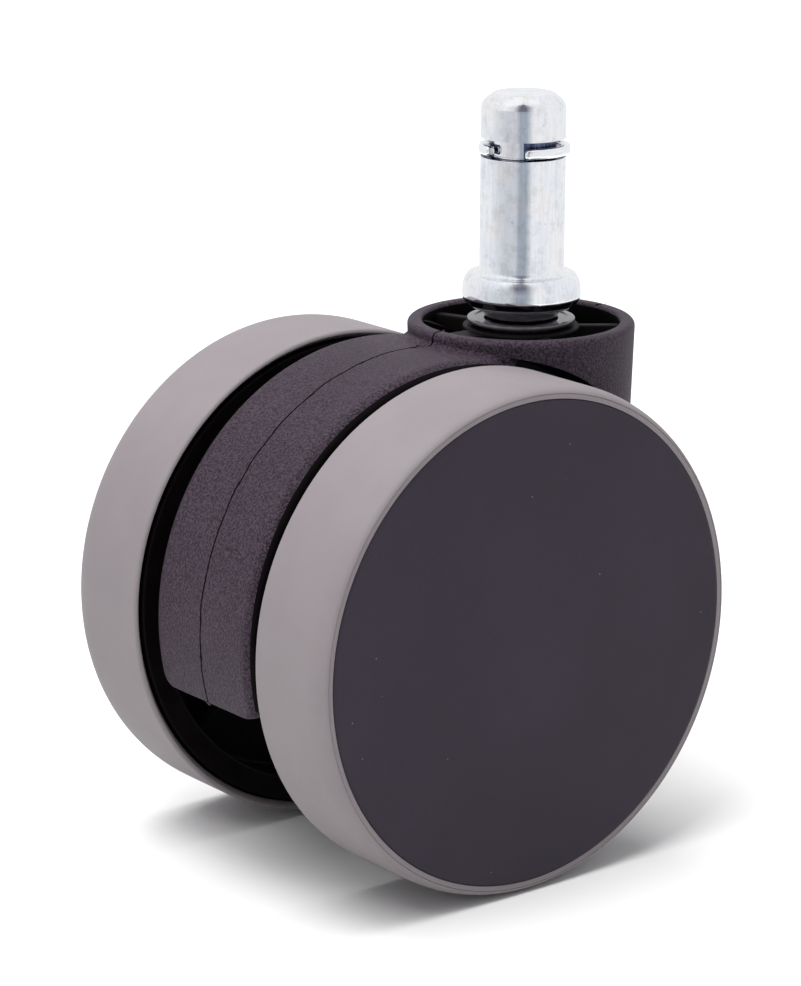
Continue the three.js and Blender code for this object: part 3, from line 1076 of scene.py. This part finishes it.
def zinc_steel():
    """Bright zinc plating: cloudy, faintly blue and yellow, with wipe marks and small pits."""
    s = Surface("zinc_steel", metallic=1.0)
    cloud = s.noise(1.6, 5.0, 0.65)
    tint = s.noise(5.0, 2.0)
    wiped = s.noise(0.4, 4.0, 0.65, s.stretched(1.0, 1.0, 0.08))
    pits = s.cells(1.3)
    plating = s.ramp(tint, (0.35, (0.83, 0.85, 0.88)), (0.5, (0.87, 0.88, 0.89)), (0.65, (0.90, 0.88, 0.87)))
    veil = s.ramp(cloud, (0.36, 0.88), (0.5, 1.0))
    streaks = s.ramp(wiped, (0.34, 0.91), (0.56, 1.0))
    plated = s.mix("MULTIPLY", 1.0, s.mix("MULTIPLY", 1.0, plating, veil), streaks)
    marks = s.ramp(pits, (0.03, 0.30), (0.09, 1.0))
    s.colour(s.mix("MULTIPLY", 0.6, plated, marks))
    s.rough(cloud, 0.07, 0.15)
    s.bumps((wiped, 0.004), (cloud, 0.008), (marks, 0.008))
    return s.material


def spring_steel():
    """Polished spring steel with fine marks along it."""
    s = Surface("spring_steel", metallic=1.0)
    drawn = s.noise(0.3, 3.0, 0.6, s.stretched(0.2, 0.2, 1.0))
    s.colour(s.ramp(drawn, (0.3, (0.80, 0.81, 0.83)), (0.7, (0.90, 0.90, 0.90))))
    s.rough(drawn, 0.14, 0.26)
    s.bumps((drawn, 0.004))
    return s.material


def bush_nylon():
    """Smooth dark grey nylon with faint turning marks."""
    s = Surface("bush_nylon", specular=0.7)
    cloud = s.noise(1.6, 3.0)
    s.colour(s.ramp(cloud, (0.3, (0.060, 0.052, 0.063)), (0.7, (0.090, 0.079, 0.092))))
    s.rough(cloud, 0.13, 0.22)
    s.bumps((cloud, 0.01))
    return s.material


materials = {
    make.__name__: make()
    for make in (
        housing_nylon, housing_inside, core_nylon, cover_plastic, tread, zinc_steel, dull_zinc,
        spring_steel, bush_nylon,
    )
}

# ----------------------------------------------------------------------------------------------------------
# Assembly
# ----------------------------------------------------------------------------------------------------------

bodies = frame["record"]["behaviour"]["bodies"]
slots = {part["node"]: part["material_slot"] for part in frame["record"]["subparts"]}


def fit(piece, node, smooth=32.0):
    """Puts a finished piece in its CAD node's place: its body, material and shading."""
    piece.name = node + "_detailed"
    piece.data.name = piece.name
    piece.data.materials.clear()
    piece.data.materials.append(materials[slots[node]])
    piece.data.shade_smooth()
    piece.data.set_sharp_from_angle(angle=math.radians(smooth))
    body = next(name for name, nodes in bodies.items() if node in nodes)
    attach(piece, body)
    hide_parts(node)
    return piece


def is_grained(x, y, z):
    """True on the housing's grained outer skin: the hood's top, the cup's outside and rim, and the front of
    the apron. All other faces, the hood's sides and the walls of the wheel spaces among them, take nylon
    darkened as painted shade.
    """
    from_stem = math.hypot(x, y)
    from_axle = math.hypot(x - AXLE_X, z - AXLE_Z)
    flare = cup.arch_flare * (abs(y) - wheel_space.inner) / (cup.arch_outer - wheel_space.inner)
    on_space_wall = abs(from_axle - wheel_space.radius - flare) < 0.06
    if on_space_wall and abs(y) > wheel_space.inner - 0.01:
        return False
    if z > cup.floor_bottom and from_stem < cup.rim_radius + 0.1:
        return from_stem > wall_radius(z) - 0.5 or z > cup.rim_z - 0.35
    if x > apron.rear_x:
        return from_stem > wall_radius(z) - 0.7
    on_skin = math.hypot(x - hood.x, z - hood.z) > hood.radius - hood.wall + 0.05
    return on_skin and x < 0 and abs(y) < hood.half_width - 0.45


# The housing faces that take the painted shade: all but the grained skin.
def is_housing_shade_face(x, y, z):
    return not is_grained(x, y, z)


def is_stem_shade_face(x, y, z):
    """True where the stem's plating takes painted shade: on its neck, on the walls of its ring groove, and on
    the groove's floor behind the ring.
    """
    from_axis = math.hypot(x, y)
    if z < stem.collar_bottom + 0.1:
        return from_axis < stem.neck + 0.05
    if from_axis > stem.radius - 0.02 or not stem.groove_bottom - 0.05 < z < stem.groove_top + 0.2:
        return False
    on_floor = from_axis < stem.groove_floor + 0.1
    return not on_floor or grip.start < math.degrees(math.atan2(y, x)) < grip.end - 8.0


def refinish(piece, shade_material, is_shade_face):
    """Gives a second material, which paints shade, to the faces of a piece whose middles are in some places.
    """
    piece.data.materials.append(materials[shade_material])
    for face in piece.data.polygons:
        if is_shade_face(*(face.center / MM)):
            face.material_index = 1


# The stem's neck and ring groove take plating darkened as painted shade and painted reflection.
refinish(fit(make_stem(), "stem"), "dull_zinc", is_stem_shade_face)
fit(make_grip_ring(), "grip_ring")
fit(make_snap_ring(), "stem_snap_ring")
fit(make_stem_bush(), "stem_bush")
fit(make_thrust_ball(), "thrust_ball")
# The housing's faces off the grained skin take nylon darkened as painted shade.
refinish(fit(make_housing(), "housing"), "housing_inside", is_housing_shade_face)
fit(make_axle(), "axle")

wheel_pieces = {
    "tyre": make_tyre,
    "wheel_core": make_core,
    "wheel_cover": make_cover,
    "hub_bush": make_hub_bush,
    "inner_washer": lambda: make_washer("inner_washer_left"),
    "outer_washer": lambda: make_washer("outer_washer_left"),
    "push_nut": make_push_nut,
}
for kind, make in wheel_pieces.items():
    fit(make(), kind + "_left")
    fit(mirrored(make()), kind + "_right")

# ----------------------------------------------------------------------------------------------------------
# Camera, floor and light
# ----------------------------------------------------------------------------------------------------------

VIEW_AZIMUTH = -38.19  # degrees; 0 looks along +Y
VIEW_ELEVATION = 15.30
VIEW_ROLL = 0.23
VIEW_DISTANCE = 443.7
VIEW_TARGET = Vector((-19.72, 0.0, -26.33))
LENS = 127.0
DOME_RADIUS = 240.0
GLOW_START, GLOW_FULL = 0.2, 0.7  # metres out on the floor
STRIPE_START, STRIPE_DEEP = 0.02, 0.12  # metres up the dome

# What the bright metal mirrors: a pale studio, greyer on the left, with a dark stripe towards the camera.
PALE = (0.93, 0.94, 0.97)
GREY = (0.65, 0.67, 0.72)
STRIPE = (0.38, 0.43, 0.50)
DEEP_STRIPE = (0.15, 0.15, 0.20)

# The tones by degrees to the right of the camera, low down and towards the top.
LOW_MIRROR = (
    (-100, PALE),
    (-50, GREY),
    (-20, GREY),
    (-10, STRIPE),
    (8, STRIPE),
    (24, PALE),
)
HIGH_MIRROR = (
    (-60, PALE),
    (-30, GREY),
    (-14, DEEP_STRIPE),
    (5, DEEP_STRIPE),
    (30, PALE),
)


def view_axes():
    """The camera's right, up and back directions."""
    a, e, r = (math.radians(v) for v in (VIEW_AZIMUTH, VIEW_ELEVATION, VIEW_ROLL))
    back = Vector((math.sin(a) * math.cos(e), -math.cos(a) * math.cos(e), math.sin(e)))
    level = Vector((math.cos(a), math.sin(a), 0))
    rise = back.cross(level)
    return level * math.cos(r) + rise * math.sin(r), rise * math.cos(r) - level * math.sin(r), back


RIGHT, UP, BACK = view_axes()


def make_camera():
    data = bpy.data.cameras.new("camera")
    data.lens = LENS
    camera = bpy.data.objects.new("camera", data)
    bpy.context.scene.collection.objects.link(camera)
    camera.matrix_world = Matrix((RIGHT, UP, BACK)).transposed().to_4x4()
    camera.location = (VIEW_TARGET + BACK * VIEW_DISTANCE) * MM
    bpy.context.scene.camera = camera


def make_floor():
    """A plain pale floor that glows a little further out, so that it stays white to the edge of the view."""
    half = 4000.0
    corners = ((-half, -half), (half, -half), (half, half), (-half, half))
    vertices = [Vector((x, y, FLOOR_Z)) * MM for x, y in corners]
    mesh = bpy.data.meshes.new("floor")
    mesh.from_pydata(vertices, [], [(0, 1, 2, 3)])
    floor = bpy.data.objects.new("floor", mesh)
    bpy.context.scene.collection.objects.link(floor)
    s = Surface("floor", specular=0.1, roughness=0.9)
    s.shader.inputs["Base Color"].default_value = (0.86, 0.86, 0.86, 1)
    s.shader.inputs["Emission Color"].default_value = (1, 1, 1, 1)
    distance = s.tree.nodes.new("ShaderNodeVectorMath")
    distance.operation = "LENGTH"
    glow = s.tree.nodes.new("ShaderNodeMapRange")
    glow.inputs["From Min"].default_value = GLOW_START
    glow.inputs["From Max"].default_value = GLOW_FULL
    glow.inputs["To Max"].default_value = 0.8
    s.link(s.place, distance.inputs[0])
    s.link(distance.outputs["Value"], glow.inputs["Value"])
    s.link(glow.outputs["Result"], s.shader.inputs["Emission Strength"])
    mesh.materials.append(s.material)


def soft_light(name, place, size_mm, watts):
    """A square soft light that faces the caster."""
    data = bpy.data.lights.new(name, "AREA")
    data.shape = "SQUARE"
    data.size = size_mm * MM
    data.energy = watts
    light = bpy.data.objects.new(name, data)
    bpy.context.scene.collection.objects.link(light)
    light.location = (VIEW_TARGET + place) * MM
    light.rotation_mode = "QUATERNION"
    light.rotation_quaternion = (-place).to_track_quat("-Z", "Y")


def dome_material():
    """A glow that changes round the dome, with a dark stripe on the camera's side that deepens upwards."""
    s = Surface("dome", specular=0.0)
    s.shader.inputs["Base Color"].default_value = (0, 0, 0, 1)
    s.shader.inputs["Emission Strength"].default_value = 1.0
    turned_place = s.tree.nodes.new("ShaderNodeMapping")
    turned_place.inputs["Rotation"].default_value = (0, 0, -math.atan2(BACK.y, BACK.x))
    round_about = s.tree.nodes.new("ShaderNodeTexGradient")
    round_about.gradient_type = "RADIAL"
    height = s.tree.nodes.new("ShaderNodeSeparateXYZ")
    upwards = s.tree.nodes.new("ShaderNodeMapRange")
    upwards.inputs["From Min"].default_value = STRIPE_START
    upwards.inputs["From Max"].default_value = STRIPE_DEEP
    s.link(s.place, turned_place.inputs["Vector"])
    s.link(turned_place.outputs["Vector"], round_about.inputs["Vector"])
    s.link(s.place, height.inputs["Vector"])
    s.link(height.outputs["Z"], upwards.inputs["Value"])
    low, high = (
        s.ramp(round_about.outputs["Fac"], *((0.5 + degrees / 360, tone) for degrees, tone in mirror))
        for mirror in (LOW_MIRROR, HIGH_MIRROR)
    )
    s.link(s.mix("MIX", upwards.outputs["Result"], low, high), s.shader.inputs["Emission Color"])
    return s.material


def make_dome():
    """A dome over the caster that shows only as a reflection, so that the metal has a studio to mirror."""
    outline = arc(0, 0, DOME_RADIUS, DOME_RADIUS, 0, 90, 24)
    outline[-1] = (0.0, DOME_RADIUS)
    outline = [(DOME_RADIUS, FLOOR_Z + 0.5)] + outline
    inner = [(max(r - 1.0, 0.0), z - 1.0) for r, z in reversed(outline)]
    dome = turned("dome", outline + inner, "Z", SMALL)
    dome.data.shade_smooth()
    dome.data.materials.append(dome_material())
    dome.visible_camera = False
    dome.visible_diffuse = False
    dome.visible_shadow = False
    dome.visible_transmission = False


def make_lights():
    world = bpy.data.worlds.new("studio")
    world.use_nodes = True
    background = world.node_tree.nodes["Background"]
    background.inputs["Color"].default_value = (0.98, 0.98, 1.0, 1)
    background.inputs["Strength"].default_value = 0.46
    bpy.context.scene.world = world
    overhead = Vector((0, 0, 900)) - RIGHT * 100 - BACK * 100
    key = Vector((0, 0, 360)) - RIGHT * 140 + BACK * 200
    soft_light("overhead", overhead, size_mm=900, watts=9.0)
    soft_light("key", key, size_mm=320, watts=1.7)
    bpy.context.scene.view_settings.view_transform = "Standard"


make_camera()
make_floor()
make_lights()
make_dome()
